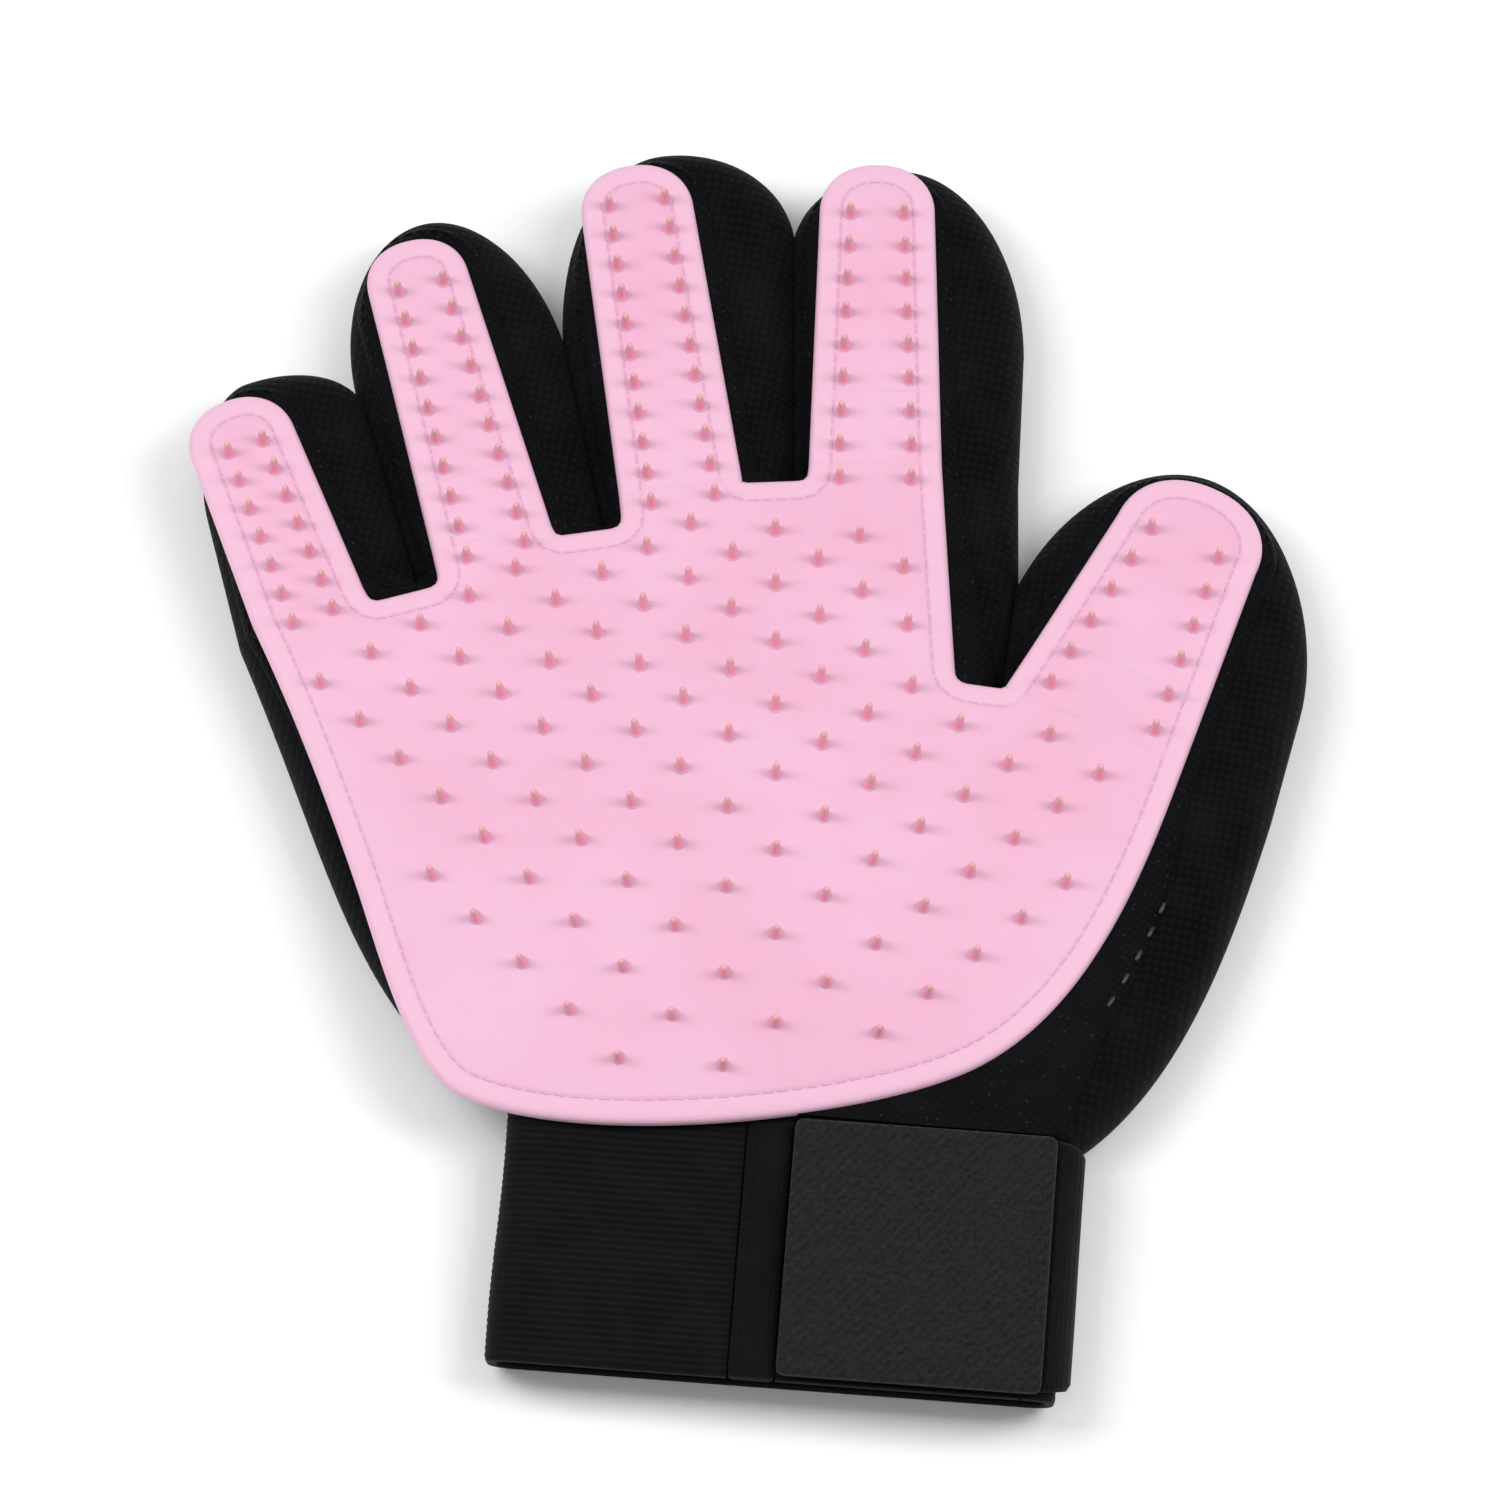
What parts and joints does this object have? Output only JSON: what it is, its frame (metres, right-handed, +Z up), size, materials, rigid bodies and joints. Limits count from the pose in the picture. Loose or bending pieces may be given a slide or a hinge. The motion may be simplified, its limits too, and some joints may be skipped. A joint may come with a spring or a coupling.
{
  "type": "grooming glove",
  "caption": "Pet grooming glove: a soft bristle pad sewn on the palm side of a five-finger fabric glove, with an elastic cuff and a hook-and-loop tab.",
  "frame": {"origin": "middle of the underside of the cuff, on the plane that the glove lies on", "axes": "+Y from the wrist to the fingertips, +Z up, out of the palm, +X towards the thumb"},
  "size_m": [0.2078, 0.236, 0.0303],
  "materials": {
    "bristle_silicone": "matt moulded silicone, soft and slightly translucent",
    "palm_fabric": "matt close-woven nylon",
    "mesh_fabric": "matt knitted air mesh",
    "ribbed_elastic": "matt ribbed elastic webbing",
    "binding_tape": "matt folded nylon tape",
    "loop_fabric": "brushed loop pile",
    "hook_tape": "moulded hooks on nylon tape"
  },
  "bodies": {
    "hand": {"palm_pad": "bristle_silicone", "palm_panel": "palm_fabric", "back_panel": "mesh_fabric", "little_side_gusset": "mesh_fabric", "little_ring_web": "mesh_fabric", "ring_middle_web": "mesh_fabric", "middle_index_web": "mesh_fabric", "index_thumb_web": "mesh_fabric", "thumb_side_gusset": "mesh_fabric", "cuff_elastic": "ribbed_elastic", "cuff_end_binding": "binding_tape", "cuff_front_panel": "palm_fabric", "cuff_loop_patch": "loop_fabric", "tab_sewn_edge": "binding_tape"},
    "tab": {"tab_hook_patch": "hook_tape", "tab_panel": "loop_fabric"},
    "thumb_lower": {"thumb_lower_sleeve": "mesh_fabric", "thumb_lower_palm_strip": "palm_fabric", "thumb_lower_pad": "bristle_silicone"},
    "thumb_tip": {"thumb_tip_sleeve": "mesh_fabric", "thumb_tip_palm_strip": "palm_fabric", "thumb_tip_pad": "bristle_silicone"},
    "index_lower": {"index_lower_sleeve": "mesh_fabric", "index_lower_palm_strip": "palm_fabric", "index_lower_pad": "bristle_silicone"},
    "index_tip": {"index_tip_sleeve": "mesh_fabric", "index_tip_palm_strip": "palm_fabric", "index_tip_pad": "bristle_silicone"},
    "middle_lower": {"middle_lower_sleeve": "mesh_fabric", "middle_lower_palm_strip": "palm_fabric", "middle_lower_pad": "bristle_silicone"},
    "middle_tip": {"middle_tip_sleeve": "mesh_fabric", "middle_tip_palm_strip": "palm_fabric", "middle_tip_pad": "bristle_silicone"},
    "ring_lower": {"ring_lower_sleeve": "mesh_fabric", "ring_lower_palm_strip": "palm_fabric", "ring_lower_pad": "bristle_silicone"},
    "ring_tip": {"ring_tip_sleeve": "mesh_fabric", "ring_tip_palm_strip": "palm_fabric", "ring_tip_pad": "bristle_silicone"},
    "little_lower": {"little_lower_sleeve": "mesh_fabric", "little_lower_palm_strip": "palm_fabric", "little_lower_pad": "bristle_silicone"},
    "little_tip": {"little_tip_sleeve": "mesh_fabric", "little_tip_palm_strip": "palm_fabric", "little_tip_pad": "bristle_silicone"}
  },
  "joints": [
    {"name": "thumb_knuckle_bend", "type": "hinge", "parent": "hand", "child": "thumb_lower", "pos_m": [0.0476, 0.1013, 0.0198], "axis": [0.9323, -0.3616, 0], "range_deg": [0, 50], "stiffness_Nm_per_rad": 0.01},
    {"name": "thumb_middle_bend", "type": "hinge", "parent": "thumb_lower", "child": "thumb_tip", "pos_m": [0.05519, 0.12088, 0.0198], "axis": [0.9323, -0.3616, 0], "range_deg": [0, 60], "stiffness_Nm_per_rad": 0.01},
    {"name": "index_knuckle_bend", "type": "hinge", "parent": "hand", "child": "index_lower", "pos_m": [0.005, 0.1488, 0.0198], "axis": [0.9978, 0.0663, 0], "range_deg": [0, 50], "stiffness_Nm_per_rad": 0.01},
    {"name": "index_middle_bend", "type": "hinge", "parent": "index_lower", "child": "index_tip", "pos_m": [0.0033, 0.17434, 0.0198], "axis": [0.9978, 0.0663, 0], "range_deg": [0, 60], "stiffness_Nm_per_rad": 0.01},
    {"name": "middle_knuckle_bend", "type": "hinge", "parent": "hand", "child": "middle_lower", "pos_m": [-0.02958, 0.1417, 0.0198], "axis": [0.9751, 0.2215, 0], "range_deg": [0, 50], "stiffness_Nm_per_rad": 0.01},
    {"name": "middle_middle_bend", "type": "hinge", "parent": "middle_lower", "child": "middle_tip", "pos_m": [-0.03617, 0.17071, 0.0198], "axis": [0.9751, 0.2215, 0], "range_deg": [0, 60], "stiffness_Nm_per_rad": 0.01},
    {"name": "ring_knuckle_bend", "type": "hinge", "parent": "hand", "child": "ring_lower", "pos_m": [-0.06256, 0.12911, 0.0198], "axis": [0.9409, 0.3387, 0], "range_deg": [0, 50], "stiffness_Nm_per_rad": 0.01},
    {"name": "ring_middle_bend", "type": "hinge", "parent": "ring_lower", "child": "ring_tip", "pos_m": [-0.07048, 0.15113, 0.0198], "axis": [0.9409, 0.3387, 0], "range_deg": [0, 60], "stiffness_Nm_per_rad": 0.01},
    {"name": "little_knuckle_bend", "type": "hinge", "parent": "hand", "child": "little_lower", "pos_m": [-0.09428, 0.11363, 0.0198], "axis": [0.9018, 0.4321, 0], "range_deg": [0, 50], "stiffness_Nm_per_rad": 0.01},
    {"name": "little_middle_bend", "type": "hinge", "parent": "little_lower", "child": "little_tip", "pos_m": [-0.10193, 0.1296, 0.0198], "axis": [0.9018, 0.4321, 0], "range_deg": [0, 60], "stiffness_Nm_per_rad": 0.01},
    {"name": "tab_peel", "type": "hinge", "parent": "hand", "child": "tab", "pos_m": [0.0466, 0, 0.0194], "axis": [0, 1, 0], "range_deg": [0, 150]}
  ]
}
